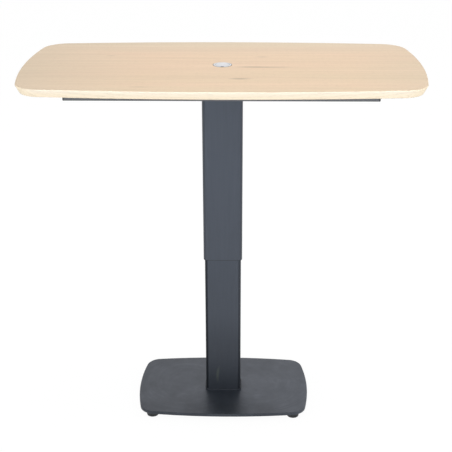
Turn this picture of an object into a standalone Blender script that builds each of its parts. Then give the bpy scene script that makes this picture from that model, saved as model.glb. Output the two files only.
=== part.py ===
"""Height-adjustable table on one telescopic column.

The table stands on the floor at z = 0, with its column on the z axis and its front facing -y. It is
modelled raised. A button in the top presses a pin through the rod of a lockable gas spring, which
then lets the outer tube of the column slide over the inner one. All sizes are in metres.
"""

import math

import bpy

# Whole table
TOP_HEIGHT = 1.156  # upper face of the top, with the column raised
LIFT_STROKE = 0.400  # travel of the outer tube
FIT_GAP = 0.0003  # clearance between pieces that seat on or in each other

# Wooden top
TOP_LENGTH = 1.200
TOP_DEPTH = 0.600
TOP_THICKNESS = 0.025
TOP_END_BOW = 0.036
TOP_SIDE_BOW = 0.029
TOP_CORNER_RADIUS = 0.079
TOP_UNDERCUT = 0.010  # how far the lower edge stands back from the upper one
TOP_EDGE_RADIUS = 0.003

# Base plate
BASE_LENGTH = 0.576
BASE_DEPTH = 0.361
BASE_THICKNESS = 0.010
BASE_END_BOW = 0.025
BASE_SIDE_BOW = 0.020
BASE_CORNER_RADIUS = 0.048
BASE_EDGE_RADIUS = 0.003

# Telescopic column
COLUMN_WIDTH = 0.1245  # outer tube, left to right
COLUMN_DEPTH = 0.080  # outer tube, front to back
COLUMN_CORNER_RADIUS = 0.010
OUTER_WALL = 0.002
INNER_WALL = 0.0025
INNER_CORNER_EASE = 0.0038  # extra rounding of the inner tube, clear of the outer tube's bore
TUBE_OVERLAP = 0.139  # length of the inner tube that stays in the outer one when raised
LIFT_HEADROOM = 0.029  # room above the inner tube when lowered
GLIDE_WALL = 0.0012
GLIDE_HEIGHT = 0.045
GLIDE_LIP = 0.0015
FLANGE_MARGIN = 0.0030  # how far the foot flange shows round the inner tube
FLANGE_THICKNESS = 0.004

# Steel frame under the top
RAIL_END_SETBACK = 0.1475  # end of a rail, with its cap, from the end of the top
RAIL_SIDE_SETBACK = 0.100  # outer face of a rail from the front or back of the top
RAIL_WIDTH = 0.030
RAIL_HEIGHT = 0.030
RAIL_WALL = 0.002
RAIL_CORNER_RADIUS = 0.003
END_CAP_LIP = 0.003
END_CAP_PLUG = 0.014
END_CAP_WALL = 0.002
CROSS_BAR_WIDTH = 0.040
CROSS_BAR_WALL = 0.002
CROSS_BAR_SPACING = 0.180  # centre to centre
HEAD_LENGTH = 0.240
HEAD_DEPTH = 0.140
HEAD_THICKNESS = 0.008
HEAD_CORNER_RADIUS = 0.014

# Gas spring
CYLINDER_DIAMETER = 0.028
CYLINDER_WALL = 0.002
CYLINDER_DROP = 0.058  # upper end of the cylinder below the inner tube's upper end
CYLINDER_STUD_DIAMETER = 0.010
CYLINDER_STUD_LENGTH = 0.010
CRIMP_DEPTH = 0.0006  # groove rolled into the cylinder to hold the gland
CRIMP_HEIGHT = 0.003
SEAT_DIAMETER = 0.040
SEAT_HEIGHT = 0.014
GLAND_LENGTH = 0.020
ROD_DIAMETER = 0.014
ROD_BORE = 0.0050
ROD_REACH = 0.003  # rod end above the upper nut
ROD_NUT_WIDTH = 0.022
ROD_NUT_HEIGHT = 0.008
PISTON_LENGTH = 0.020
SEAL_SECTION = 0.0018  # thickness of the rubber rings
STOP_GAP = 0.001  # piston to gland when raised
PIN_DIAMETER = 0.0040
VALVE_DIAMETER = 0.011
VALVE_THICKNESS = 0.004

# Release button
BUTTON_TRAVEL = 0.006
BUTTON_RISE = 0.0005  # cap above the bezel
BUTTON_GAP = 0.0007  # cap to bezel, all round
CAP_THICKNESS = 0.003
CAP_SKIRT = 0.010
CAP_WALL = 0.002
CAP_EDGE_RADIUS = 0.0012
CAP_DOME = 0.0008
BEZEL_DIAMETER = 0.056
BEZEL_FLANGE = 0.0015
BEZEL_EDGE_RADIUS = 0.0010
BEZEL_RECESS = 0.0010  # how deep the flange lies in the top
BEZEL_RECESS_PLAY = 0.0010  # shadow gap round the flange
NOTCH_WIDTH = 0.010
NOTCH_DEPTH = 0.004
BARREL_DIAMETER = 0.047
BARREL_WALL = 0.0024
BARREL_FLOOR = 0.003
BARREL_REACH = 0.008  # barrel below the top's underside
BEZEL_NUT_DIAMETER = 0.058
BEZEL_NUT_HEIGHT = 0.006
PUSH_ROD_DIAMETER = 0.008
PUSH_FOOT_DIAMETER = 0.012
PUSH_FOOT_HEIGHT = 0.003
SPRING_DIAMETER = 0.024
SPRING_WIRE = 0.0014
SPRING_TURNS = 6

# Levelling feet
FOOT_END_SETBACK = 0.054  # middle of a foot from the end of the base plate
FOOT_SIDE_SETBACK = 0.0425  # middle of a foot from the front or back of the base plate
FOOT_HEIGHT = 0.018  # floor to the underside of the base plate
FOOT_STOP_GAP = 0.0005
PAD_DIAMETER = 0.040
PAD_TOP_DIAMETER = 0.037
PAD_EDGE_RADIUS = 0.0015
PAD_FLOOR = 0.005  # material under the stud's head
STUD_DIAMETER = 0.0094
STUD_HEAD_DIAMETER = 0.012
STUD_HEAD_HEIGHT = 0.0032
STUD_REACH = 0.0075  # stud inside the base plate
FOOT_NUT_WIDTH = 0.017
FOOT_NUT_HEIGHT = 0.008
FOOT_NUT_ROOM = 0.0012  # room round the nut in the pad's recess

# Facets
ARC_STEPS = 6
CORNER_STEPS = 4
EDGE_STEPS = 3
ROUND_SIDES = 24
SMALL_SIDES = 16
BUTTON_SIDES = 40
SPRING_STEPS = 12
SPRING_SIDES = 6
SEAL_SIDES = 8
DOME_STEPS = 3
SHARP_ANGLE = math.radians(38)

# Heights worked out from the sizes above
BASE_BOTTOM = FOOT_HEIGHT
BASE_TOP = BASE_BOTTOM + BASE_THICKNESS
FLANGE_BOTTOM = BASE_TOP + FIT_GAP
FLANGE_TOP = FLANGE_BOTTOM + FLANGE_THICKNESS
TOP_BOTTOM = TOP_HEIGHT - TOP_THICKNESS
RAIL_TOP = TOP_BOTTOM - FIT_GAP
RAIL_BOTTOM = RAIL_TOP - RAIL_HEIGHT
HEAD_TOP = RAIL_BOTTOM - FIT_GAP
HEAD_BOTTOM = HEAD_TOP - HEAD_THICKNESS
OUTER_TOP = HEAD_BOTTOM - FIT_GAP
OUTER_BOTTOM = OUTER_TOP - LIFT_STROKE - TUBE_OVERLAP - LIFT_HEADROOM
INNER_BOTTOM = FLANGE_TOP + FIT_GAP
INNER_TOP = OUTER_BOTTOM + TUBE_OVERLAP
SEAT_BOTTOM = FLANGE_TOP + FIT_GAP
SEAT_TOP = SEAT_BOTTOM + SEAT_HEIGHT
CYLINDER_BOTTOM = SEAT_TOP + FIT_GAP
CYLINDER_TOP = INNER_TOP - CYLINDER_DROP
GLAND_BOTTOM = CYLINDER_TOP - GLAND_LENGTH
ROD_BOTTOM = GLAND_BOTTOM - STOP_GAP
PISTON_TOP = ROD_BOTTOM - FIT_GAP
PISTON_BOTTOM = PISTON_TOP - PISTON_LENGTH
VALVE_TOP = PISTON_BOTTOM - FIT_GAP
UPPER_NUT_BOTTOM = HEAD_TOP + FIT_GAP
LOWER_NUT_BOTTOM = HEAD_BOTTOM - FIT_GAP - ROD_NUT_HEIGHT
ROD_TOP = UPPER_NUT_BOTTOM + ROD_NUT_HEIGHT + ROD_REACH
PIN_TOP = ROD_TOP + BUTTON_TRAVEL + FIT_GAP
PUSH_BOTTOM = PIN_TOP + FIT_GAP
BARREL_BOTTOM = TOP_BOTTOM - BARREL_REACH
BARREL_FLOOR_TOP = BARREL_BOTTOM + BARREL_FLOOR
BEZEL_BOTTOM = TOP_HEIGHT - BEZEL_RECESS + FIT_GAP
BEZEL_TOP = BEZEL_BOTTOM + BEZEL_FLANGE
CAP_TOP = BEZEL_TOP + BUTTON_RISE
CAP_UNDERSIDE = CAP_TOP - CAP_THICKNESS
CAP_BOTTOM = CAP_TOP - CAP_SKIRT
PAD_TOP = FOOT_HEIGHT - FOOT_STOP_GAP
STUD_BOTTOM = PAD_FLOOR + FIT_GAP
STUD_TOP = BASE_BOTTOM + STUD_REACH
FOOT_NUT_TOP = BASE_BOTTOM - FIT_GAP
FOOT_NUT_BOTTOM = FOOT_NUT_TOP - FOOT_NUT_HEIGHT

# Widths worked out from the sizes above
RAIL_LENGTH = TOP_LENGTH - 2 * RAIL_END_SETBACK
RAIL_SPREAD = TOP_DEPTH - 2 * RAIL_SIDE_SETBACK
FOOT_SPACING_X = BASE_LENGTH - 2 * FOOT_END_SETBACK
FOOT_SPACING_Y = BASE_DEPTH - 2 * FOOT_SIDE_SETBACK
OUTER_BORE_WIDTH = COLUMN_WIDTH - 2 * OUTER_WALL
OUTER_BORE_DEPTH = COLUMN_DEPTH - 2 * OUTER_WALL
GLIDE_SPACE = GLIDE_WALL + 2 * FIT_GAP
INNER_WIDTH = OUTER_BORE_WIDTH - 2 * GLIDE_SPACE
INNER_DEPTH = OUTER_BORE_DEPTH - 2 * GLIDE_SPACE
CAP_DIAMETER = BARREL_DIAMETER - 2 * BARREL_WALL - 2 * BUTTON_GAP
STUD_HOLE_DIAMETER = STUD_DIAMETER + 2 * FIT_GAP
SEAL_ROOM = SEAL_SECTION + 2 * FIT_GAP

# Colours
WOOD = "E8D0B7"
GREY_PAINT = "525A64"
FRAME_GREY = "67686C"
DARK_PLASTIC = "26282B"
BARE_STEEL = "B9BBBE"
BLACK_PAINT = "1E1F21"
BRIGHT_METAL = "E1E4EB"
RUBBER = "1A1A1B"


def linear_colour(code):
    """Linear colour of a hexadecimal screen colour."""
    channels = [int(code[i:i + 2], 16) / 255 for i in (0, 2, 4)]
    return [c / 12.92 if c <= 0.04045 else ((c + 0.055) / 1.055) ** 2.4 for c in channels] + [1.0]


def finish(name, colour, roughness, metallic):
    """A piece's own material."""
    material = bpy.data.materials.new(name)
    material.use_nodes = True
    shader = material.node_tree.nodes["Principled BSDF"]
    shader.inputs["Base Color"].default_value = linear_colour(colour)
    shader.inputs["Roughness"].default_value = roughness
    shader.inputs["Metallic"].default_value = metallic
    return material


def wood(name):
    return finish(name, WOOD, 0.45, 0.0)


def grey_paint(name):
    return finish(name, GREY_PAINT, 0.40, 0.3)


def frame_paint(name):
    return finish(name, FRAME_GREY, 0.45, 0.3)


def black_paint(name):
    return finish(name, BLACK_PAINT, 0.35, 0.0)


def dark_plastic(name):
    return finish(name, DARK_PLASTIC, 0.55, 0.0)


def rubber(name):
    return finish(name, RUBBER, 0.70, 0.0)


def bare_steel(name):
    return finish(name, BARE_STEEL, 0.30, 1.0)


def bright_metal(name):
    return finish(name, BRIGHT_METAL, 0.18, 1.0)


def add_piece(name, mesh, material, place, parent=None):
    """Put a mesh into the scene at a place in the table's frame, carried by its parent."""
    mesh.shade_smooth()
    mesh.set_sharp_from_angle(angle=SHARP_ANGLE)
    mesh.materials.append(material)
    piece = bpy.data.objects.new(name, mesh)
    bpy.context.collection.objects.link(piece)
    piece.location = place
    if parent is not None:
        piece.parent = parent
        piece.location = piece.location - parent_place(parent)
    return piece


def parent_place(parent):
    """Place of a parent in the table's frame; parents are never turned."""
    place = parent.location.copy()
    while parent.parent is not None:
        parent = parent.parent
        place = place + parent.location
    return place


def loft(name, sections, closed=False):
    """Skin a row of equal sections. An open row gets end faces, a closed one returns to its start."""
    count = len(sections[0])
    points = [point for section in sections for point in section]
    faces = []
    for step in range(len(sections) if closed else len(sections) - 1):
        low = step * count
        high = (step + 1) % len(sections) * count
        for i in range(count):
            j = (i + 1) % count
            faces.append((low + i, low + j, high + j, high + i))
    if not closed:
        faces.append(tuple(reversed(range(count))))
        faces.append(tuple(range(len(points) - count, len(points))))
    mesh = bpy.data.meshes.new(name)
    mesh.from_pydata(points, [], faces)
    mesh.update()
    return mesh


def arc(centre_x, centre_y, radius, start, stop, steps):
    """Points along a circular arc, with both ends."""
    angles = [start + (stop - start) * i / steps for i in range(steps + 1)]
    return [(centre_x + radius * math.cos(a), centre_y + radius * math.sin(a)) for a in angles]


def mirror_quarter(quarter):
    """Closed outline from its quarter between the +x and +y axes."""
    left = [(-x, y) for x, y in reversed(quarter)]
    below = [(-x, -y) for x, y in quarter]
    right = [(x, -y) for x, y in reversed(quarter)]
    return quarter + left[1:] + below[1:] + right[1:-1]


def circle(radius, height, sides=ROUND_SIDES):
    turn = 2 * math.pi / sides
    return [(radius * math.cos(i * turn), radius * math.sin(i * turn), height) for i in range(sides)]


def hexagon(width, height, sides=ROUND_SIDES):
    """Hexagon over flats, with as many points as the circle that it is skinned to."""
    turn = 2 * math.pi / sides
    points = []
    for i in range(sides):
        off_flat = (i * turn + math.pi / 6) % (math.pi / 3) - math.pi / 6
        reach = width / 2 / math.cos(off_flat)
        points.append((reach * math.cos(i * turn), reach * math.sin(i * turn), height))
    return points


def rounded_rectangle(width, depth, radius, height):
    quarter = arc(width / 2 - radius, depth / 2 - radius, radius, 0, math.pi / 2, CORNER_STEPS)
    left = [(-x, y) for x, y in reversed(quarter)]
    below = [(-x, -y) for x, y in quarter]
    right = [(x, -y) for x, y in reversed(quarter)]
    return [(x, y, height) for x, y in quarter + left + below + right]


def bowed_rectangle(length, depth, end_bow, side_bow, corner_radius, inset, height):
    """Rectangle whose four sides bow out, with corner arcs tangent to them, drawn in by an inset."""
    end_radius = ((depth / 2) ** 2 + end_bow ** 2) / (2 * end_bow)
    side_radius = ((length / 2) ** 2 + side_bow ** 2) / (2 * side_bow)
    end_x = length / 2 - end_radius
    side_y = depth / 2 - side_radius
    # The corner arc's centre lies where two circles round the centres of the side arcs cross
    apart = math.hypot(end_x, side_y)
    end_reach = end_radius - corner_radius
    side_reach = side_radius - corner_radius
    along = (end_reach ** 2 - side_reach ** 2 + apart ** 2) / (2 * apart)
    across = math.sqrt(end_reach ** 2 - along ** 2)
    corner_x = end_x - (along * end_x + across * side_y) / apart
    corner_y = (along * side_y - across * end_x) / apart
    end_angle = math.atan2(corner_y, corner_x - end_x)
    side_angle = math.atan2(corner_y - side_y, corner_x)
    quarter = arc(end_x, 0, end_radius - inset, 0, end_angle, ARC_STEPS)[:-1]
    quarter += arc(corner_x, corner_y, corner_radius - inset, end_angle, side_angle, 2 * ARC_STEPS)
    quarter += arc(0, side_y, side_radius - inset, side_angle, math.pi / 2, ARC_STEPS)[1:]
    return [(x, y, height) for x, y in mirror_quarter(quarter)]


def quarter_round(radius, steps=EDGE_STEPS):
    """Inset and drop of points round an outer edge, from its side to its face."""
    angles = [math.pi / 2 * i / steps for i in range(steps + 1)]
    return [(radius * (1 - math.cos(a)), radius * (1 - math.sin(a))) for a in angles]


def revolve(name, profile, sides=ROUND_SIDES, closed=False):
    """Turn a profile of radius and height pairs, outer side upwards, round the z axis."""
    return loft(name, [circle(radius, height, sides) for radius, height in profile], closed)


def seal_ring(name, inner_radius):
    """Rubber ring of round section, centred on z = 0."""
    half = SEAL_SECTION / 2
    angles = [2 * math.pi * i / SEAL_SIDES for i in range(SEAL_SIDES)]
    profile = [(inner_radius + half + half * math.cos(a), half * math.sin(a)) for a in angles]
    return revolve(name, profile, closed=True)


def tube(name, width, depth, corner_radius, wall, length):
    """Rectangular tube along z, open at both ends."""
    bore = (width - 2 * wall, depth - 2 * wall, max(corner_radius - wall, wall / 4))
    sections = [
        rounded_rectangle(width, depth, corner_radius, 0),
        rounded_rectangle(width, depth, corner_radius, length),
        rounded_rectangle(*bore, length),
        rounded_rectangle(*bore, 0),
    ]
    return loft(name, sections, closed=True)


def cut(piece, name, mesh, place):
    """Cut a mesh out of a piece, both placed in the table's frame."""
    cutter = bpy.data.objects.new(name, mesh)
    bpy.context.collection.objects.link(cutter)
    cutter.location = place
    cutter.hide_render = True
    cutter.display_type = "WIRE"
    modifier = piece.modifiers.new(name, "BOOLEAN")
    modifier.operation = "DIFFERENCE"
    modifier.solver = "EXACT"
    modifier.object = cutter


def cylinder(name, radius, length, sides=ROUND_SIDES):
    return revolve(name, [(radius, 0), (radius, length)], sides)


# Base and column foot


def build_base_plate():
    size = (BASE_LENGTH, BASE_DEPTH, BASE_END_BOW, BASE_SIDE_BOW, BASE_CORNER_RADIUS)
    lower_edge = quarter_round(BASE_EDGE_RADIUS / 3, 1)
    upper_edge = quarter_round(BASE_EDGE_RADIUS)
    sections = [bowed_rectangle(*size, inset, drop) for inset, drop in reversed(lower_edge)]
    sections += [bowed_rectangle(*size, inset, BASE_THICKNESS - drop) for inset, drop in upper_edge]
    mesh = loft("base_plate", sections)
    plate = add_piece("base_plate", mesh, grey_paint("base_plate"), (0, 0, BASE_BOTTOM))
    for corner, x, y in foot_places():
        hole = cylinder("stud_hole_" + corner, STUD_HOLE_DIAMETER / 2, 2 * STUD_REACH + FIT_GAP, SMALL_SIDES)
        cut(plate, "stud_hole_" + corner, hole, (x, y, BASE_BOTTOM - STUD_REACH))
    return plate


def build_column_flange(base):
    width = INNER_WIDTH + 2 * FLANGE_MARGIN
    depth = INNER_DEPTH + 2 * FLANGE_MARGIN
    radius = inner_corner_radius() + FLANGE_MARGIN
    chamfer = FLANGE_MARGIN / 3
    sections = [
        rounded_rectangle(width, depth, radius, 0),
        rounded_rectangle(width, depth, radius, FLANGE_THICKNESS - chamfer),
        rounded_rectangle(width - 2 * chamfer, depth - 2 * chamfer, radius - chamfer, FLANGE_THICKNESS),
    ]
    mesh = loft("column_flange", sections)
    add_piece("column_flange", mesh, grey_paint("column_flange"), (0, 0, FLANGE_BOTTOM), base)


def inner_corner_radius():
    """Corner radius of the inner tube, rounder than one concentric with the outer tube's."""
    return COLUMN_CORNER_RADIUS - OUTER_WALL - GLIDE_SPACE + INNER_CORNER_EASE


def build_inner_column(base):
    length = INNER_TOP - INNER_BOTTOM
    mesh = tube("inner_column", INNER_WIDTH, INNER_DEPTH, inner_corner_radius(), INNER_WALL, length)
    add_piece("inner_column", mesh, grey_paint("inner_column"), (0, 0, INNER_BOTTOM), base)


def collar_section(space, height):
    """Section of a glide collar's inside, a given space outside the inner tube."""
    radius = inner_corner_radius() + space
    return rounded_rectangle(INNER_WIDTH + 2 * space, INNER_DEPTH + 2 * space, radius, height)


def liner_section(space, height):
    """Section of a glide collar's outside, a given space inside the outer tube's bore."""
    radius = COLUMN_CORNER_RADIUS - OUTER_WALL - space
    return rounded_rectangle(OUTER_BORE_WIDTH - 2 * space, OUTER_BORE_DEPTH - 2 * space, radius, height)


def build_upper_glide(base):
    """Collar over the inner tube's upper end, with a lip that rests on the tube."""
    lip = -INNER_WALL
    top = GLIDE_HEIGHT + GLIDE_LIP
    sections = [
        liner_section(FIT_GAP, 0),
        liner_section(FIT_GAP, top),
        collar_section(lip, top),
        collar_section(lip, GLIDE_HEIGHT),
        collar_section(FIT_GAP, GLIDE_HEIGHT),
        collar_section(FIT_GAP, 0),
    ]
    mesh = loft("upper_glide", sections, closed=True)
    place = (0, 0, INNER_TOP + FIT_GAP - GLIDE_HEIGHT)
    add_piece("upper_glide", mesh, dark_plastic("upper_glide"), place, base)


def build_gas_spring_base(base):
    """Seat, cylinder, gland and rod seal, which stay with the base."""
    stud = CYLINDER_STUD_DIAMETER / 2
    bore = stud + FIT_GAP
    seat = SEAT_DIAMETER / 2
    chamfer = SEAT_HEIGHT / 7
    profile = [
        (seat, 0),
        (seat, SEAT_HEIGHT - chamfer),
        (seat - chamfer, SEAT_HEIGHT),
        (bore, SEAT_HEIGHT),
        (bore, 0),
    ]
    mesh = revolve("cylinder_seat", profile, closed=True)
    add_piece("cylinder_seat", mesh, bare_steel("cylinder_seat"), (0, 0, SEAT_BOTTOM), base)

    outer = CYLINDER_DIAMETER / 2
    inner = outer - CYLINDER_WALL
    length = CYLINDER_TOP - CYLINDER_BOTTOM
    crimp = length - GLAND_LENGTH / 2
    profile = [
        (stud, -CYLINDER_STUD_LENGTH),
        (stud, 0),
        (outer - CYLINDER_WALL, 0),
        (outer, CYLINDER_WALL),
        (outer, crimp - CRIMP_HEIGHT),
        (outer - CRIMP_DEPTH, crimp - CRIMP_HEIGHT / 2),
        (outer - CRIMP_DEPTH, crimp + CRIMP_HEIGHT / 2),
        (outer, crimp + CRIMP_HEIGHT),
        (outer, length),
        (inner, length),
        (inner, 2 * CYLINDER_WALL),
    ]
    mesh = revolve("gas_spring_cylinder", profile)
    place = (0, 0, CYLINDER_BOTTOM)
    add_piece("gas_spring_cylinder", mesh, black_paint("gas_spring_cylinder"), place, base)

    outer = inner - FIT_GAP
    inner = ROD_DIAMETER / 2 + FIT_GAP
    groove = inner + SEAL_SECTION + FIT_GAP
    middle = GLAND_LENGTH / 2
    profile = [
        (outer, 0),
        (outer, GLAND_LENGTH),
        (inner, GLAND_LENGTH),
        (inner, middle + SEAL_ROOM / 2),
        (groove, middle + SEAL_ROOM / 2),
        (groove, middle - SEAL_ROOM / 2),
        (inner, middle - SEAL_ROOM / 2),
        (inner, 0),
    ]
    mesh = revolve("gas_spring_gland", profile, closed=True)
    add_piece("gas_spring_gland", mesh, bare_steel("gas_spring_gland"), (0, 0, GLAND_BOTTOM), base)
    place = (0, 0, GLAND_BOTTOM + middle)
    add_piece("rod_seal", seal_ring("rod_seal", inner), rubber("rod_seal"), place, base)


# Levelling feet


def foot_places():
    """Corner name, x and y of each foot."""
    x = FOOT_SPACING_X / 2
    y = FOOT_SPACING_Y / 2
    return [("fl", -x, -y), ("fr", x, -y), ("rl", -x, y), ("rr", x, y)]


def pad_profile():
    """Pad with a recess for the nut and a socket for the stud's head."""
    recess = FOOT_NUT_WIDTH / 2 / math.cos(math.pi / 6) + FOOT_NUT_ROOM
    recess_floor = FOOT_NUT_BOTTOM - FIT_GAP
    socket = STUD_HEAD_DIAMETER / 2 + FIT_GAP
    edge = quarter_round(PAD_EDGE_RADIUS, 2)
    bottom = [(PAD_DIAMETER / 2 - inset, drop) for inset, drop in reversed(edge)]
    top = [(PAD_TOP_DIAMETER / 2 - inset, PAD_TOP - drop) for inset, drop in edge]
    inside = [(recess, PAD_TOP), (recess, recess_floor), (socket, recess_floor), (socket, PAD_FLOOR)]
    return bottom + top + inside


def build_foot(corner, x, y, base):
    nut_bore = STUD_HOLE_DIAMETER / 2
    sections = [
        hexagon(FOOT_NUT_WIDTH, 0),
        hexagon(FOOT_NUT_WIDTH, FOOT_NUT_HEIGHT),
        circle(nut_bore, FOOT_NUT_HEIGHT),
        circle(nut_bore, 0),
    ]
    name = "foot_nut_" + corner
    add_piece(name, loft(name, sections, closed=True), bare_steel(name), (x, y, FOOT_NUT_BOTTOM), base)

    name = "foot_pad_" + corner
    pad = add_piece(name, revolve(name, pad_profile()), dark_plastic(name), (x, y, 0))

    head = STUD_HEAD_DIAMETER / 2
    shank = STUD_DIAMETER / 2
    chamfer = STUD_DIAMETER / 8
    length = STUD_TOP - STUD_BOTTOM
    profile = [
        (head, 0),
        (head, STUD_HEAD_HEIGHT),
        (shank, STUD_HEAD_HEIGHT),
        (shank, length - chamfer),
        (shank - chamfer, length),
    ]
    name = "foot_stud_" + corner
    add_piece(name, revolve(name, profile, SMALL_SIDES), bare_steel(name), (x, y, STUD_BOTTOM), pad)


# Lifting column, frame and top


def build_outer_column():
    length = OUTER_TOP - OUTER_BOTTOM
    mesh = tube("outer_column", COLUMN_WIDTH, COLUMN_DEPTH, COLUMN_CORNER_RADIUS, OUTER_WALL, length)
    return add_piece("outer_column", mesh, grey_paint("outer_column"), (0, 0, OUTER_BOTTOM))


def build_lower_glide(lift):
    """Collar in the outer tube's lower end, with a lip under the tube."""
    lip = -OUTER_WALL / 2
    top = GLIDE_LIP + GLIDE_HEIGHT
    sections = [
        liner_section(lip, 0),
        liner_section(lip, GLIDE_LIP),
        liner_section(FIT_GAP, GLIDE_LIP),
        liner_section(FIT_GAP, top),
        collar_section(FIT_GAP, top),
        collar_section(FIT_GAP, 0),
    ]
    mesh = loft("lower_glide", sections, closed=True)
    place = (0, 0, OUTER_BOTTOM - FIT_GAP - GLIDE_LIP)
    add_piece("lower_glide", mesh, dark_plastic("lower_glide"), place, lift)


def build_head_plate(lift):
    size = (HEAD_LENGTH, HEAD_DEPTH, HEAD_CORNER_RADIUS)
    mesh = loft("head_plate", [rounded_rectangle(*size, 0), rounded_rectangle(*size, HEAD_THICKNESS)])
    plate = add_piece("head_plate", mesh, frame_paint("head_plate"), (0, 0, HEAD_BOTTOM), lift)
    hole = cylinder("rod_hole", ROD_DIAMETER / 2 + FIT_GAP, 3 * HEAD_THICKNESS)
    cut(plate, "rod_hole", hole, (0, 0, HEAD_BOTTOM - HEAD_THICKNESS))


def build_rail(side, y, lift):
    """Rail along x with a plug cap in each end; its tube is drawn along z and laid down."""
    tube_length = RAIL_LENGTH - 2 * (END_CAP_LIP + FIT_GAP)
    height = RAIL_BOTTOM + RAIL_HEIGHT / 2
    name = side + "_rail"
    mesh = tube(name, RAIL_HEIGHT, RAIL_WIDTH, RAIL_CORNER_RADIUS, RAIL_WALL, tube_length)
    rail = add_piece(name, mesh, frame_paint(name), (-tube_length / 2, y, height), lift)
    rail.rotation_euler.y = math.pi / 2
    for end, turn in (("left", -1), ("right", 1)):
        name = side + "_rail_cap_" + end
        cap = add_piece(name, end_cap(name), dark_plastic(name), (turn * tube_length / 2, y, height), lift)
        cap.rotation_euler.y = turn * math.pi / 2


def end_cap(name):
    """Cap with a hollow plug, drawn with its lip towards +z and the tube's end at z = 0."""
    play = RAIL_WALL + FIT_GAP
    plug_radius = max(RAIL_CORNER_RADIUS - RAIL_WALL, RAIL_WALL / 4)
    plug = (RAIL_HEIGHT - 2 * play, RAIL_WIDTH - 2 * play, plug_radius)
    hollow = (plug[0] - 2 * END_CAP_WALL, plug[1] - 2 * END_CAP_WALL, plug_radius)
    lip = (RAIL_HEIGHT, RAIL_WIDTH, RAIL_CORNER_RADIUS)
    chamfer = END_CAP_LIP / 3
    face = (RAIL_HEIGHT - 2 * chamfer, RAIL_WIDTH - 2 * chamfer, RAIL_CORNER_RADIUS)
    sections = [
        rounded_rectangle(*hollow, FIT_GAP),
        rounded_rectangle(*hollow, -END_CAP_PLUG),
        rounded_rectangle(*plug, -END_CAP_PLUG),
        rounded_rectangle(*plug, FIT_GAP),
        rounded_rectangle(*lip, FIT_GAP),
        rounded_rectangle(*lip, FIT_GAP + END_CAP_LIP - chamfer),
        rounded_rectangle(*face, FIT_GAP + END_CAP_LIP),
    ]
    return loft(name, sections)


def build_cross_bar(side, x, lift):
    """Bar along y between the rails, over the head plate."""
    length = RAIL_SPREAD - 2 * RAIL_WIDTH - 2 * FIT_GAP
    name = side + "_cross_bar"
    mesh = tube(name, CROSS_BAR_WIDTH, RAIL_HEIGHT, RAIL_CORNER_RADIUS, CROSS_BAR_WALL, length)
    bar = add_piece(name, mesh, frame_paint(name), (x, -length / 2, RAIL_BOTTOM + RAIL_HEIGHT / 2), lift)
    bar.rotation_euler.x = -math.pi / 2


def build_table_top(lift):
    size = (TOP_LENGTH, TOP_DEPTH, TOP_END_BOW, TOP_SIDE_BOW, TOP_CORNER_RADIUS)
    edge = quarter_round(TOP_EDGE_RADIUS)
    sections = [bowed_rectangle(*size, TOP_UNDERCUT + inset, drop) for inset, drop in reversed(edge)]
    sections += [bowed_rectangle(*size, inset, TOP_THICKNESS - drop) for inset, drop in edge]
    mesh = loft("table_top", sections)
    top = add_piece("table_top", mesh, wood("table_top"), (0, 0, TOP_BOTTOM), lift)
    hole = BARREL_DIAMETER / 2 + FIT_GAP
    recess = BEZEL_DIAMETER / 2 + BEZEL_RECESS_PLAY
    recess_floor = TOP_THICKNESS - BEZEL_RECESS
    profile = [
        (hole, -TOP_THICKNESS),
        (hole, recess_floor),
        (recess, recess_floor),
        (recess, 2 * TOP_THICKNESS),
    ]
    cut(top, "button_hole", revolve("button_hole", profile, BUTTON_SIDES), (0, 0, TOP_BOTTOM))


def build_gas_spring_lift(lift):
    """Rod, piston with its seal, and the two nuts that clamp the rod to the head plate."""
    outer = ROD_DIAMETER / 2
    bore = ROD_BORE / 2
    length = ROD_TOP - ROD_BOTTOM
    mesh = revolve("gas_spring_rod", [(outer, 0), (outer, length), (bore, length), (bore, 0)], closed=True)
    add_piece("gas_spring_rod", mesh, bright_metal("gas_spring_rod"), (0, 0, ROD_BOTTOM), lift)

    outer = CYLINDER_DIAMETER / 2 - CYLINDER_WALL - FIT_GAP
    groove = outer - SEAL_SECTION - FIT_GAP
    middle = PISTON_LENGTH / 2
    profile = [
        (outer, 0),
        (outer, middle - SEAL_ROOM / 2),
        (groove, middle - SEAL_ROOM / 2),
        (groove, middle + SEAL_ROOM / 2),
        (outer, middle + SEAL_ROOM / 2),
        (outer, PISTON_LENGTH),
        (bore, PISTON_LENGTH),
        (bore, 0),
    ]
    mesh = revolve("gas_spring_piston", profile, closed=True)
    add_piece("gas_spring_piston", mesh, bare_steel("gas_spring_piston"), (0, 0, PISTON_BOTTOM), lift)
    mesh = seal_ring("piston_seal", groove + FIT_GAP)
    add_piece("piston_seal", mesh, rubber("piston_seal"), (0, 0, PISTON_BOTTOM + middle), lift)

    bore = ROD_DIAMETER / 2 + FIT_GAP
    for name, bottom in (("rod_nut_upper", UPPER_NUT_BOTTOM), ("rod_nut_lower", LOWER_NUT_BOTTOM)):
        sections = [
            hexagon(ROD_NUT_WIDTH, 0),
            hexagon(ROD_NUT_WIDTH, ROD_NUT_HEIGHT),
            circle(bore, ROD_NUT_HEIGHT),
            circle(bore, 0),
        ]
        add_piece(name, loft(name, sections, closed=True), bare_steel(name), (0, 0, bottom), lift)


# Release button


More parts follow.
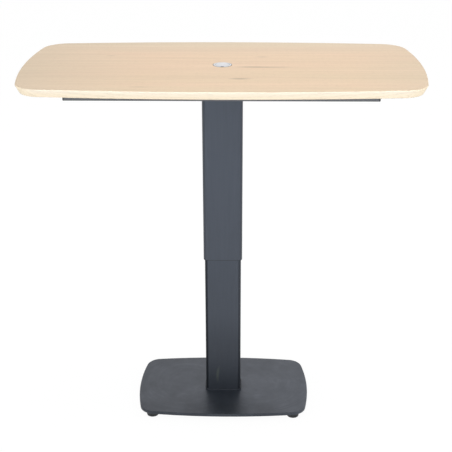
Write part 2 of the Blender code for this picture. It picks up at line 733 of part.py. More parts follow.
def build_bezel(lift):
    """Flanged barrel through the top, notched in front, whose floor guides the push rod, and its nut."""
    flange = BEZEL_DIAMETER / 2
    barrel = BARREL_DIAMETER / 2
    bore = barrel - BARREL_WALL
    guide = PUSH_ROD_DIAMETER / 2 + FIT_GAP
    rim = [(flange - inset, BEZEL_TOP - drop) for inset, drop in quarter_round(BEZEL_EDGE_RADIUS, 2)]
    outside = [(barrel, BARREL_BOTTOM), (barrel, BEZEL_BOTTOM), (flange, BEZEL_BOTTOM)]
    inside = [(bore, BEZEL_TOP), (bore, BARREL_FLOOR_TOP)]
    inside += [(guide, BARREL_FLOOR_TOP), (guide, BARREL_BOTTOM)]
    profile = outside + rim + inside
    profile = [(radius, height - BARREL_BOTTOM) for radius, height in profile]
    mesh = revolve("button_bezel", profile, BUTTON_SIDES, closed=True)
    bezel = add_piece("button_bezel", mesh, bright_metal("button_bezel"), (0, 0, BARREL_BOTTOM), lift)
    half = NOTCH_WIDTH / 2
    back = NOTCH_DEPTH - flange
    outline = [(half, back), (-half, back), (-half, -2 * flange), (half, -2 * flange)]
    sections = [[(x, y, z) for x, y in outline] for z in (-BEZEL_FLANGE, 2 * BEZEL_FLANGE)]
    cut(bezel, "front_notch", loft("front_notch", sections), (0, 0, BEZEL_BOTTOM))

    outer = BEZEL_NUT_DIAMETER / 2
    inner = barrel + FIT_GAP
    profile = [(outer, 0), (outer, BEZEL_NUT_HEIGHT), (inner, BEZEL_NUT_HEIGHT), (inner, 0)]
    mesh = revolve("bezel_nut", profile, closed=True)
    place = (0, 0, TOP_BOTTOM - FIT_GAP - BEZEL_NUT_HEIGHT)
    add_piece("bezel_nut", mesh, dark_plastic("bezel_nut"), place, lift)


def build_button():
    """Domed cap, its push rod and its return spring."""
    outer = CAP_DIAMETER / 2
    inner = outer - CAP_WALL
    rim = outer - CAP_EDGE_RADIUS
    edge = [(outer - inset, CAP_SKIRT - drop) for inset, drop in quarter_round(CAP_EDGE_RADIUS, 2)]
    rise = [math.pi / 2 * step / (DOME_STEPS + 1) for step in range(1, DOME_STEPS + 1)]
    dome = [(rim * math.cos(a), CAP_SKIRT + CAP_DOME * math.sin(a)) for a in rise]
    profile = [(inner, CAP_SKIRT - CAP_THICKNESS), (inner, 0), (outer, 0)] + edge + dome
    mesh = revolve("button_cap", profile, BUTTON_SIDES)
    cap = add_piece("button_cap", mesh, bright_metal("button_cap"), (0, 0, CAP_BOTTOM))

    foot = PUSH_FOOT_DIAMETER / 2
    shank = PUSH_ROD_DIAMETER / 2
    length = CAP_UNDERSIDE - FIT_GAP - PUSH_BOTTOM
    profile = [(foot, 0), (foot, PUSH_FOOT_HEIGHT), (shank, PUSH_FOOT_HEIGHT), (shank, length)]
    mesh = revolve("push_rod", profile)
    add_piece("push_rod", mesh, bare_steel("push_rod"), (0, 0, PUSH_BOTTOM), cap)

    bottom = BARREL_FLOOR_TOP + FIT_GAP
    mesh = coil("button_spring", CAP_UNDERSIDE - FIT_GAP - bottom)
    add_piece("button_spring", mesh, bare_steel("button_spring"), (0, 0, bottom), cap)


def coil(name, height):
    """Compression spring of round wire, standing on z = 0."""
    radius = SPRING_DIAMETER / 2
    wire = SPRING_WIRE / 2
    rise = (height - SPRING_WIRE) / (2 * math.pi * SPRING_TURNS)
    slope = math.atan2(rise, radius)
    sections = []
    for step in range(SPRING_TURNS * SPRING_STEPS + 1):
        turn = 2 * math.pi * step / SPRING_STEPS
        section = []
        for side in range(SPRING_SIDES):
            angle = -2 * math.pi * side / SPRING_SIDES
            out = radius + wire * math.cos(angle)
            lean = wire * math.sin(angle) * math.sin(slope)
            x = out * math.cos(turn) + lean * math.sin(turn)
            y = out * math.sin(turn) - lean * math.cos(turn)
            z = wire + rise * turn + wire * math.sin(angle) * math.cos(slope)
            section.append((x, y, z))
        sections.append(section)
    return loft(name, sections)


def build_release_pin():
    """Pin through the gas spring's rod, with the valve head under the piston."""
    valve = VALVE_DIAMETER / 2
    pin = PIN_DIAMETER / 2
    bottom = VALVE_TOP - VALVE_THICKNESS
    length = PIN_TOP - bottom
    profile = [(valve, 0), (valve, VALVE_THICKNESS), (pin, VALVE_THICKNESS), (pin, length)]
    mesh = revolve("release_pin", profile, SMALL_SIDES)
    add_piece("release_pin", mesh, bare_steel("release_pin"), (0, 0, bottom))


def build_table():
    for old in list(bpy.data.objects):
        bpy.data.objects.remove(old, do_unlink=True)
    base = build_base_plate()
    build_column_flange(base)
    build_inner_column(base)
    build_upper_glide(base)
    build_gas_spring_base(base)
    for corner, x, y in foot_places():
        build_foot(corner, x, y, base)
    lift = build_outer_column()
    build_lower_glide(lift)
    build_head_plate(lift)
    rail_y = (RAIL_SPREAD - RAIL_WIDTH) / 2
    for side, y in (("front", -rail_y), ("rear", rail_y)):
        build_rail(side, y, lift)
    for side, x in (("left", -CROSS_BAR_SPACING / 2), ("right", CROSS_BAR_SPACING / 2)):
        build_cross_bar(side, x, lift)
    build_table_top(lift)
    build_gas_spring_lift(lift)
    build_bezel(lift)
    build_button()
    build_release_pin()


build_table()
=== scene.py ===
"""Looks of a height-adjustable table: finishes, fasteners, welds, threads and a plain studio.

The packed solids come in as a fixed frame, in metres, with the floor at z = 0, the column on the z axis
and the front facing -y. Each operator dresses one group of pieces or adds the small ones that ride on it.
"""

import math

import bpy
from mathutils import Matrix, Vector


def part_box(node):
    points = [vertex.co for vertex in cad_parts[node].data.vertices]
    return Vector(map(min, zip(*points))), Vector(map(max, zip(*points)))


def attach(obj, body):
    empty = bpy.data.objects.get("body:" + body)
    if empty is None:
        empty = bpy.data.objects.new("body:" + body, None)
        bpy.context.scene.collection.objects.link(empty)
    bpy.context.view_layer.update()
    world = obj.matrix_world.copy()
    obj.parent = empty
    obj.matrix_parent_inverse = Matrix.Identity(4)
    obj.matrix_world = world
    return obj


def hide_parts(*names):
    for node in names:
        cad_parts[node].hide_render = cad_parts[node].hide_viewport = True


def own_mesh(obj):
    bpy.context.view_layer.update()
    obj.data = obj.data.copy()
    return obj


bl_info = {
    "name": "Height-adjustable table",
    "version": (1, 0, 0),
    "blender": (4, 5, 0),
    "location": "3D View > Sidebar > Table",
    "description": "Finishes, fasteners, welds and a plain studio for a height-adjustable table",
    "category": "Object",
}

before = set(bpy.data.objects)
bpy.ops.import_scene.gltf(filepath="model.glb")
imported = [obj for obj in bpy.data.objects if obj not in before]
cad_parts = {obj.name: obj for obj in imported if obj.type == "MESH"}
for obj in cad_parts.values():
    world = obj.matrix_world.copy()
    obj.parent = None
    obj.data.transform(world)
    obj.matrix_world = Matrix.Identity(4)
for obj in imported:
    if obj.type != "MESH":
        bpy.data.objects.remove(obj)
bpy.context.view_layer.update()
CORNERS = ("fl", "fr", "rl", "rr")
MM = 0.001
SHARP_ANGLE = math.radians(38)
MERGE_DISTANCE = 0.01 * MM

# Sizes of the solids that the added pieces fit
TUBE_CORNER = 10.0 * MM
BAR_CORNER = 3.0 * MM
BEZEL_FLANGE = 1.5 * MM
SEAT_GAP = 0.3 * MM
NOTCH_WIDTH = 10.0 * MM
NOTCH_DEPTH = 4.0 * MM
SPRING_WIRE = 1.4 * MM
SPRING_TURNS = 6

# Weld beads: size of the foot's bead beside the others, and steps along a ripple and across a bead
FOOT_WELD = 0.7
WELD_STEPS = 4
BEAD_STEPS = 4

# Places of the fasteners, from the middle of the table
RAIL_SCREWS = (-0.40, -0.20, 0.20, 0.40)
HEAD_BOLTS = ((-0.09, -0.045), (0.09, -0.045), (-0.09, 0.045), (0.09, 0.045))
BASE_SCREWS = ((-0.04, -0.02), (0.04, -0.02), (-0.04, 0.02), (0.04, 0.02))

# Patterns of the finishes
BOARD_SHIFT = 7.0
BAND_LENGTH = 769.0 * MM
FIBRE_LENGTH = 71.4 * MM
PORE_LENGTH = 16.0 * MM
PATCH_LENGTH = 625.0 * MM
PATCH_WIDTH = 90.9 * MM
RING_STRETCH = 10
GREY_MIDDLE = 70.0 * MM
COAT_CLOUD = 143.0 * MM
WIPE_ARC = 13.0 * MM
WIPE_CENTRE = (0.125, 0.020, 0.0)
WIPE_SIDE_SHIFT = 40.0
WIPE_DEPTH = 0.8
WIPE_BEND = 1.0
WIPE_PATCH = 70.0 * MM
WIPE_CLOUD = 0.18
WIPE_SEED = 1.7
WIPE_STREAK = 6.0 * MM
WIPE_STREAK_LENGTH = 120.0 * MM
SCUFF_MIDDLE = (-19.5 * MM, 94.0 * MM)
SCUFF_HALF_SIZE = (6.0 * MM, 34.0 * MM, 1.0)
SCUFF_BEND = 3.0
SCUFF_BEND_START = 80.0 * MM
ENAMEL_WAVE = 11.0 * MM
MOULD_GRAIN = 1.0 * MM
MOULD_SCUFF = 17.0 * MM
TALC = 1.4 * MM
ZINC_PATCH = 4.2 * MM
STEEL_PATCH = 8.3 * MM

# The camera was fitted to the outlines in the photo
CAMERA_PLACE = (0.0629, -2.9011, 1.8934)
CAMERA_PAN = math.radians(1.051)
CAMERA_TILT = math.radians(66.421)
CAMERA_ROLL = -0.0020
SENSOR_WIDTH = 36
FLOOR_HALF = 12.0
FLOOR_GLOW = 1.06
FLOOR_WHITE = 0.9

# Sockets of the Mix node when it mixes colours
MIX_A = 6
MIX_B = 7


def linear(code):
    """Linear colour of a hexadecimal sRGB colour."""
    channels = [int(code[i:i + 2], 16) / 255 for i in (0, 2, 4)]
    return [c / 12.92 if c <= 0.04045 else ((c + 0.055) / 1.055) ** 2.4 for c in channels] + [1.0]


def colour(label, description, code):
    """A colour that the user can change."""
    return bpy.props.FloatVectorProperty(
        name=label, description=description, subtype="COLOR", size=4, min=0, max=1, default=linear(code)
    )


def length(label, description, default):
    """A size that the user can change."""
    return bpy.props.FloatProperty(
        name=label, description=description, default=default, min=0, unit="LENGTH", precision=5
    )


def share(label, description, default):
    """A share between none and all that the user can change."""
    return bpy.props.FloatProperty(
        name=label, description=description, default=default, min=0, max=1, subtype="FACTOR"
    )


def power(label, description, default):
    """The power of a lamp, in watts, that the user can change."""
    return bpy.props.FloatProperty(
        name=label, description=description, default=default, min=0, unit="POWER"
    )


# Settings


class TableWood(bpy.types.PropertyGroup):
    """Sizes and colours of the wooden top"""

    warm: colour("Warm boards", "Oak that leans to pink", "DBBCA2")
    cool: colour("Cool boards", "Oak that leans to grey-yellow", "D2BE9F")
    greyed: colour("Greyed boards", "Oak that light has greyed, at the back and the ends", "CABBA3")
    edge_high: colour("Edge, above", "Sanded edge, paler than the face", "F3E2CB")
    edge_low: colour("Edge, below", "Sanded edge, where it is yellower", "F1DABA")
    # Painted light: the ends' colour is paler and warmer than the wood, standing in for light the lamps
    # don't bring
    end_grain_painted_light: colour("End grain", "Sanded ends, paler and warmer than the long sides", "FDE8C7")
    mark: colour("Mark", "Knots and mineral streaks", "8C7C6B")
    board_width: length("Board width", "Width of the boards that are glued edge to edge", 0.130)
    board_start: length("Board start", "Glue line nearest the back, from the middle of the top", 0.222)
    band: length("Growth bands", "Spacing of the growth bands across the boards", 0.018)
    fibre: length("Fibre", "Spacing of the drawn fibres across the boards", 0.0035)
    ring: length("Growth rings", "Spacing of the growth rings across the boards", 0.0075)
    pore: length("Pores", "Width of the open pores", 0.0008)
    roughness: share("Roughness", "Roughness of the oiled face", 0.52)


class TablePaint(bpy.types.PropertyGroup):
    """Colours and finish of the painted steel"""

    column: colour("Column and base", "Powder coat of the column and the base plate", "262B31")
    sheen: colour("Sheen", "Bluish sheen of the mica in that coat", "E8EEFF")
    scuff: colour("Scuff", "Dust in the scuff that a shoe has left on the lower tube", "4B5146")
    sub_frame: colour("Sub-frame", "Powder coat of the rails under the top", "4C4A46")
    enamel: colour("Gas spring", "Enamel of the gas spring's cylinder", "1E1F21")
    roughness: share("Roughness", "Roughness of the powder coat", 0.41)
    slide_roughness: share("Sliding roughness", "Roughness of the coat where the glides rub it", 0.52)
    peel: length("Orange peel", "Spacing of the coat's drawn ripple", 0.0030)


class TableHardware(bpy.types.PropertyGroup):
    """Sizes and colours of the button, the feet and the fasteners"""

    stainless: colour("Button", "Spun stainless steel of the button and its bezel", "DEDFE2")
    plated: colour("Plated steel", "Zinc-plated nuts, bolts, screws and studs", "B9BBBE")
    machined: colour("Machined steel", "Bare turned pieces inside the column", "A9ABAF")
    plastic: colour("Plastic", "Moulded foot pads, caps and glides", "202225")
    rubber: colour("Rubber", "Seals of the gas spring", "1A1A1B")
    pitch: length("Thread pitch", "Pitch of the foot studs' thread", 0.0015)
    weld: length("Weld", "Leg length of the weld beads", 0.0025)
    ripple: length("Weld ripple", "Spacing of the ripples in a weld bead", 0.0030)


class TableStage(bpy.types.PropertyGroup):
    """Camera, lamps and background"""

    lens: bpy.props.FloatProperty(name="Lens", description="Focal length", default=78.24, unit="CAMERA")
    floor: colour("Floor", "Pale paper floor", "E6E6E6")
    ambient: bpy.props.FloatProperty(name="Ambient", description="Light from all round", default=1.0, min=0)
    front: power("Front lamp", "Soft lamp in front", 8.0)
    front_tint: colour("Front tint", "Cool daylight of the front lamp", "E2F1FF")
    overhead: power("Overhead lamp", "Soft lamp above", 31.0)


# Shader and mesh tools


def node(tree, kind, inputs=None, **settings):
    """Add a node with its settings; the kind of a shader node goes without its prefix.

    An input that is given a socket, or a node for its first output in use, is linked. Others are set.
    """
    made = tree.nodes.new(kind if "Node" in kind else "ShaderNode" + kind)
    for name, value in settings.items():
        setattr(made, name, value)
    for name, value in (inputs or {}).items():
        socket = made.inputs[name]
        if isinstance(value, bpy.types.Node):
            value = next(output for output in value.outputs if output.enabled)
        if isinstance(value, bpy.types.NodeSocket):
            tree.links.new(value, socket)
        else:
            socket.default_value = value
    return made


def new_material(name):
    """Material with a bare node tree, the tree and the place on the object, in metres."""
    material = bpy.data.materials.new(name)
    material.use_nodes = True
    tree = material.node_tree
    tree.nodes.clear()
    return material, tree, node(tree, "TexCoord").outputs["Object"]


def close_material(material, inputs):
    """Give a material its principled shader, and return it."""
    shader = node(material.node_tree, "BsdfPrincipled", inputs)
    node(material.node_tree, "OutputMaterial", {"Surface": shader})
    return material


def soft_shading():
    """Node group that joins a solid's loose facets and shades it smooth up to the sharp angle."""
    group = bpy.data.node_groups.get("soft_shading")
    if group is not None:
        return group
    group = bpy.data.node_groups.new("soft_shading", "GeometryNodeTree")
    group.interface.new_socket("Geometry", in_out="INPUT", socket_type="NodeSocketGeometry")
    group.interface.new_socket("Geometry", in_out="OUTPUT", socket_type="NodeSocketGeometry")
    start = node(group, "NodeGroupInput")
    plain = node(group, "GeometryNodeRemoveAttribute", {"Geometry": start, "Name": "custom_normal"})
    joined = node(group, "GeometryNodeMergeByDistance", {"Geometry": plain, "Distance": MERGE_DISTANCE})
    smooth = node(group, "GeometryNodeSetShadeSmooth", {"Geometry": joined, "Shade Smooth": True})
    angle = node(group, "GeometryNodeInputMeshEdgeAngle")
    sharp = node(group, "FunctionNodeCompare", {0: angle, 1: SHARP_ANGLE}, operation="GREATER_THAN")
    creased = node(
        group,
        "GeometryNodeSetShadeSmooth",
        {"Geometry": smooth, "Selection": sharp, "Shade Smooth": False},
        domain="EDGE",
    )
    node(group, "NodeGroupOutput", {0: creased})
    return group


def soften(piece):
    """Smooth shading with flat faces kept flat."""
    piece.modifiers.new("soft_shading", "NODES").node_group = soft_shading()
    weighted = piece.modifiers.new("flat_faces", "WEIGHTED_NORMAL")
    weighted.keep_sharp = True


def dress(names, material):
    """Give CAD nodes a finish."""
    for name in names:
        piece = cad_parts[name]
        slot = piece.material_slots[0]
        slot.link = "OBJECT"
        slot.material = material
        soften(piece)


def add_piece(name, points, faces, material, body):
    """Add a piece that rides on a body and takes a slot's finish."""
    mesh = bpy.data.meshes.new(name)
    mesh.from_pydata(points, [], faces)
    mesh.materials.append(material)
    piece = bpy.data.objects.new(name, mesh)
    bpy.context.scene.collection.objects.link(piece)
    soften(piece)
    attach(piece, body)
    return piece


def skin(rings, closed=False):
    """Points and faces of a skin over equal rings; an open row gets end faces."""
    count = len(rings[0])
    points = [point for ring in rings for point in ring]
    faces = []
    for step in range(len(rings) if closed else len(rings) - 1):
        low = step * count
        high = (step + 1) % len(rings) * count
        for i in range(count):
            j = (i + 1) % count
            faces.append((low + i, low + j, high + j, high + i))
    if not closed:
        faces.append(tuple(reversed(range(count))))
        faces.append(tuple(range(len(points) - count, len(points))))
    return points, faces


def circle(radius, height, sides=24):
    """Points of a level circle round the z axis."""
    turn = 2 * math.pi / sides
    return [(radius * math.cos(i * turn), radius * math.sin(i * turn), height) for i in range(sides)]


def hexagon(width, height, sides=24):
    """Hexagon over flats, with as many points as the circle that it is skinned to."""
    turn = 2 * math.pi / sides
    points = []
    for i in range(sides):
        off_flat = (i * turn + math.pi / 6) % (math.pi / 3) - math.pi / 6
        reach = width / 2 / math.cos(off_flat)
        points.append((reach * math.cos(i * turn), reach * math.sin(i * turn), height))
    return points


# Finishes


def graded(tree, value, *grades):
    """Multiply a value by grades: a source, the span of it that counts, and the factors at both ends."""
    for source, low, high, first, last in grades:
        span = {"Value": source, "From Min": low, "From Max": high, "To Min": first, "To Max": last}
        factor = node(tree, "MapRange", span)
        value = node(tree, "Math", {0: value, 1: factor}, operation="MULTIPLY")
    return value


def facing(tree):
    """The object's normal along x, y and z."""
    return node(tree, "SeparateXYZ", {0: node(tree, "TexCoord").outputs["Normal"]}).outputs


def stretched_noise(tree, place, size, settings):
    """Noise with patches of a size along x, y and z."""
    shares = node(tree, "Mapping", {"Vector": place, "Scale": [1 / side for side in size]})
    return node(tree, "TexNoise", {"Vector": shares, "Scale": 1.0, **settings})


def clouded(tree, place, tone, spacing, detail, dark, light):
    """Noise of cloudy patches, and a tone that they make darker and lighter."""
    patch = node(tree, "TexNoise", {"Vector": place, "Scale": 1 / spacing, "Detail": detail})
    shade = node(tree, "MapRange", {"Value": patch, "To Min": dark, "To Max": light})
    return patch, node(tree, "VectorMath", {0: tone[:3], "Scale": shade}, operation="SCALE")


def white_oiled_oak(wood, bottom, top):
    """Oak boards, planed, sanded and white-oiled: pale, low contrast and satin, with the figure along x."""
    material, tree, place = new_material("white_oiled_oak")
    x, y, z = node(tree, "SeparateXYZ", {0: place}).outputs
    # Boards differ a little in tint, and each has its own stretch of figure
    from_start = node(tree, "Math", {0: y, 1: wood.board_start}, operation="SUBTRACT")
    in_boards = node(tree, "Math", {0: from_start, 1: wood.board_width}, operation="DIVIDE")
    board = node(tree, "Math", {0: in_boards}, operation="FLOOR")
    draw = node(tree, "TexWhiteNoise", {"W": board}, noise_dimensions="1D")
    tint, hue, start = node(tree, "SeparateColor", {0: draw.outputs["Color"]}).outputs
    shifted = node(tree, "Math", {0: start, 1: BOARD_SHIFT, 2: x}, operation="MULTIPLY_ADD")
    figure = node(tree, "CombineXYZ", {0: shifted, 1: y, 2: z})
    band, fibre, ring, pore = oak_figure(tree, wood, figure)
    # Boards, bands, fibres, rings and pores each make the wood darker or lighter
    value = graded(
        tree,
        1.0,
        (tint, 0.0, 1.0, 0.965, 1.02),
        (band, 0.3, 0.7, 0.95, 1.03),
        (fibre, 0.3, 0.7, 0.97, 1.03),
        (ring, 0.0, 1.0, 0.985, 1.035),
        (pore, 0.0, 1.0, 1.0, 0.84),
    )
    plain = oak_colour(tree, wood, figure, hue, x, y)
    face = node(tree, "VectorMath", {0: plain, "Scale": value}, operation="SCALE")
    marks = wood_marks(tree, x, y, band, fibre)
    marked = node(tree, "Mix", {0: marks, MIX_A: face, MIX_B: wood.mark}, data_type="RGBA")
    rise = node(tree, "MapRange", {"Value": z, "From Min": bottom, "From Max": top})
    on_edge, pale = oak_edge(tree, wood, rise)
    edge = node(tree, "VectorMath", {0: pale, "Scale": value}, operation="SCALE")
    tone = node(tree, "Mix", {0: on_edge, MIX_A: marked, MIX_B: edge}, data_type="RGBA")
    satin = node(
        tree, "MapRange", {"Value": band, "To Min": wood.roughness + 0.08, "To Max": wood.roughness - 0.08}
    )
    hollow = node(tree, "Math", {0: fibre, 1: pore}, operation="SUBTRACT")
    relief = node(tree, "Bump", {"Height": hollow, "Strength": 0.10, "Distance": 0.2 * MM})
    return close_material(material, {"Base Color": tone, "Roughness": satin, "Normal": relief, "IOR": 1.45})


def oak_figure(tree, wood, place):
    """Growth bands, fibres, growth rings and pores of oak that is cut along x."""
    # Growth bands run the length of a board and waver slowly
    size = (BAND_LENGTH, wood.band, wood.band)
    band = stretched_noise(tree, place, size, {"Detail": 4.0, "Roughness": 0.55, "Distortion": 0.35})
    # Real fibres are a third of a millimetre wide; they are drawn coarser to show at this distance
    size = (FIBRE_LENGTH, wood.fibre, wood.fibre)
    fibre = stretched_noise(tree, place, size, {"Detail": 3.0, "Roughness": 0.6})
    # Growth rings, cut along the board, are thin lines that swing into arches
    swing = node(tree, "Mapping", {"Vector": place, "Scale": (1 / RING_STRETCH, 1, 1)})
    spacing = math.pi / (10 * wood.ring)
    rings = node(
        tree,
        "TexWave",
        {"Vector": swing, "Scale": spacing, "Distortion": 9.0, "Detail": 2.0, "Detail Scale": 0.35},
        wave_type="BANDS",
        bands_direction="Y",
        wave_profile="SAW",
    )
    ring = rings.outputs["Fac"]
    # Open pores are short dark dashes, most of them at the start of a ring
    dash = stretched_noise(tree, place, (PORE_LENGTH, wood.pore, wood.pore), {"Detail": 1.0})
    early = node(tree, "MapRange", {"Value": ring, "To Min": 0.54, "To Max": 0.68})
    late = node(tree, "Math", {0: early, 1: 0.08}, operation="ADD")
    pore = node(tree, "MapRange", {"Value": dash, "From Min": early, "From Max": late})
    return band, fibre, ring, pore


def oak_colour(tree, wood, place, hue, x, y):
    """Colour of the boards, with patches along the grain, greyed at the back and the ends."""
    cloud = stretched_noise(tree, place, (PATCH_LENGTH, PATCH_WIDTH, PATCH_WIDTH), {"Detail": 3.0})
    lean = node(tree, "Math", {0: cloud, 1: 1.6, 2: hue}, operation="MULTIPLY_ADD")
    lean = node(tree, "MapRange", {"Value": lean, "From Min": 0.5, "From Max": 2.1})
    plain = node(tree, "Mix", {0: lean, MIX_A: wood.warm, MIX_B: wood.cool}, data_type="RGBA")
    to_back = node(tree, "MapRange", {"Value": y, "From Min": 0.12, "From Max": 0.29, "To Max": 0.85})
    aside = node(tree, "Math", {0: x, 1: GREY_MIDDLE}, operation="SUBTRACT")
    aside = node(tree, "Math", {0: aside}, operation="ABSOLUTE")
    to_end = node(tree, "MapRange", {"Value": aside, "From Min": 0.30, "From Max": 0.67, "To Max": 0.55})
    greyed = node(tree, "Math", {0: to_back, 1: to_end}, operation="MAXIMUM")
    return node(tree, "Mix", {0: greyed, MIX_A: plain, MIX_B: wood.greyed}, data_type="RGBA")


def oak_edge(tree, wood, rise):
    """Mask of the finely sanded edge, and its colour: yellower below, with painted light on the ends."""
    right, _, up = facing(tree)
    endwise = node(tree, "Math", {0: right}, operation="ABSOLUTE")
    steep = node(tree, "Math", {0: up}, operation="ABSOLUTE")
    on_edge = node(
        tree,
        "MapRange",
        {"Value": steep, "From Min": 0.92, "From Max": 0.70},
        interpolation_type="SMOOTHSTEP",
    )
    # Painted light on the ends, where the edge faces along x
    painted_light_end = node(tree, "MapRange", {"Value": endwise, "From Min": 0.2, "From Max": 0.7})
    side = node(tree, "Mix", {0: rise, MIX_A: wood.edge_low, MIX_B: wood.edge_high}, data_type="RGBA")
    return on_edge, node(tree, "Mix", {0: painted_light_end, MIX_A: side, MIX_B: wood.end_grain_painted_light}, data_type="RGBA")


def wood_marks(tree, x, y, waver, fibre):
    """Mask of the few knots and mineral streaks, drawn along the fibres.

    Each mark has a middle, half a length and width, and a strength.
    """
    marks = (
        ((0.108, -0.026, 0), (0.135, 0.0105, 1), 1.00),
        ((0.054, -0.160, 0), (0.046, 0.0145, 1), 0.80),
        ((0.121, 0.099, 0), (0.040, 0.0100, 1), 0.55),
        ((-0.350, 0.109, 0), (0.024, 0.0080, 1), 0.45),
        ((-0.227, -0.250, 0), (0.045, 0.0100, 1), 0.35),
    )
    flat = node(tree, "CombineXYZ", {0: x, 1: y})
    total = 0.0
    for middle, half_size, strength in marks:
        offset = node(tree, "VectorMath", {0: flat, 1: middle}, operation="SUBTRACT")
        offset = node(tree, "VectorMath", {0: offset, 1: half_size}, operation="DIVIDE")
        reach = node(tree, "VectorMath", {0: offset}, operation="LENGTH")
        reach = node(tree, "Math", {0: waver, 1: 0.8, 2: reach}, operation="MULTIPLY_ADD")
        mask = node(
            tree,
            "MapRange",
            {"Value": reach, "From Min": 1.4, "From Max": 0.3, "To Max": strength},
            interpolation_type="SMOOTHSTEP",
        )
        total = node(tree, "Math", {0: total, 1: mask}, operation="MAXIMUM")
    # The fibres break the marks up
    drawn = node(
        tree,
        "MapRange",
        {"Value": fibre, "From Min": 0.36, "From Max": 0.62, "To Min": 1.25, "To Max": 0.45},
    )
    return node(tree, "Math", {0: total, 1: drawn}, operation="MULTIPLY")


def powder_coat(name, coat, paint, wear):
    """Steel, blasted and powder-coated: an even satin coat with a fine ripple and the marks of its use.

    A plate keeps the arcs of the cloth that wiped it, a tube upright streaks, and a sliding tube a scuff
    from a shoe. Painted shade darkens and dulls corners, upward ledges and a plate's cut sides.
    """
    material, tree, place = new_material(name)
    cloud = node(
        tree,
        "TexNoise",
        {"Vector": place, "Scale": 1 / COAT_CLOUD, "Detail": 3.0, "Roughness": 0.6, "Distortion": 0.6},
    )
    # Orange peel is about a millimetre across; it is drawn coarser to show at this distance
    ripple = node(tree, "TexNoise", {"Vector": place, "Scale": 1 / paint.peel, "Detail": 2.0})
    # The wipe carries painted light on a plate and painted shade low on a sliding tube
    wipe = wiped_arcs_and_painted_light(tree, place) if wear == "plate" else wiped_streaks_and_painted_shade(tree, place, wear)
    # Painted shade: this mask darkens the colour and lowers the sheen of corners, ledges and cut sides
    dull = painted_shade(tree, wear)
    value = graded(
        tree,
        wipe,
        (cloud, 0.3, 0.7, 0.92, 1.08),
        (ripple, 0.3, 0.7, 0.98, 1.02),
        (dull, 0.0, 1.0, 1.0, 0.55),
    )
    painted = node(tree, "VectorMath", {0: coat[:3], "Scale": value}, operation="SCALE")
    if wear == "sliding tube":
        mix = {0: scuffed(tree, place), MIX_A: painted, MIX_B: paint.scuff}
        painted = node(tree, "Mix", mix, data_type="RGBA")
    # The sheen takes the painted shade too, and the wipe's painted light
    shine = graded(tree, wipe, (dull, 0.0, 1.0, 0.5, 0.12))
    roughness = paint.slide_roughness if wear == "sliding tube" else paint.roughness
    satin = node(tree, "MapRange", {"Value": cloud, "To Min": roughness - 0.06, "To Max": roughness + 0.06})
    relief = node(tree, "Bump", {"Height": ripple, "Strength": 0.04, "Distance": 0.15 * MM})
    return close_material(material, {
        "Base Color": painted,
        "Roughness": satin,
        "Normal": relief,
        "Specular IOR Level": shine,
        "Specular Tint": paint.sheen,
        "IOR": 1.80,
    })


def wiped_arcs_and_painted_light(tree, place):
    """Sheen of a plate that was wiped in circles on both sides of the column, with painted light on it."""
    axes = node(tree, "SeparateXYZ", {0: place})
    x, y = axes.outputs[:2]
    half = node(tree, "Math", {0: x}, operation="ABSOLUTE")
    from_axis = node(tree, "CombineXYZ", {0: half, 1: y})
    reach = node(tree, "VectorMath", {0: from_axis, 1: WIPE_CENTRE}, operation="SUBTRACT")
    radius = node(tree, "VectorMath", {0: reach}, operation="LENGTH")
    heading = node(tree, "VectorMath", {0: reach}, operation="NORMALIZE")
    heading = node(tree, "SeparateXYZ", {0: heading})
    # Each side has arcs of its own, so the second one starts far off in the noise
    side = node(tree, "Math", {0: x, 1: 0.0}, operation="GREATER_THAN")
    start = node(tree, "Math", {0: side, 1: WIPE_SIDE_SHIFT}, operation="MULTIPLY")
    ring = node(tree, "Math", {0: radius, 1: 1 / WIPE_ARC, 2: start}, operation="MULTIPLY_ADD")
    swirl = node(tree, "CombineXYZ", {0: ring, 1: heading, 2: heading.outputs[1]})
    arcs = node(
        tree,
        "TexNoise",
        {"Vector": swirl, "Scale": 1.0, "Detail": 3.0, "Roughness": 0.6, "Distortion": WIPE_BEND},
    )
    # They show in patches, and fade towards their centres and where the two sides meet
    patch = node(
        tree,
        "TexNoise",
        {
            "Vector": place,
            "W": WIPE_SEED,
            "Scale": 1 / WIPE_PATCH,
            "Detail": 3.0,
            "Roughness": 0.6,
        },
        noise_dimensions="4D",
    )
    shown = node(
        tree,
        "MapRange",
        {"Value": patch, "From Min": 0.4, "From Max": 0.65, "To Min": 0.1, "To Max": WIPE_DEPTH},
    )
    depth = node(tree, "MapRange", {"Value": half, "From Min": 0.0, "From Max": 0.08, "To Max": shown})
    depth = node(tree, "MapRange", {"Value": radius, "From Min": 0.0, "From Max": 0.06, "To Max": depth})
    # Painted light makes the plate lighter to the right and round the middle of each half, and darker
    # towards the front
    swing = node(tree, "Math", {0: arcs, 1: 0.5}, operation="SUBTRACT")
    wipe = node(tree, "Math", {0: swing, 1: depth, 2: 1.0}, operation="MULTIPLY_ADD")
    return graded(
        tree,
        wipe,
        (x, -0.29, 0.29, 0.92, 1.17),
        (y, -0.18, -0.07, 0.83, 1.0),
        (radius, 0.13, 0.02, 1.0, 1.07),
        (patch, 0.3, 0.7, 1 - WIPE_CLOUD, 1 + WIPE_CLOUD),
    )


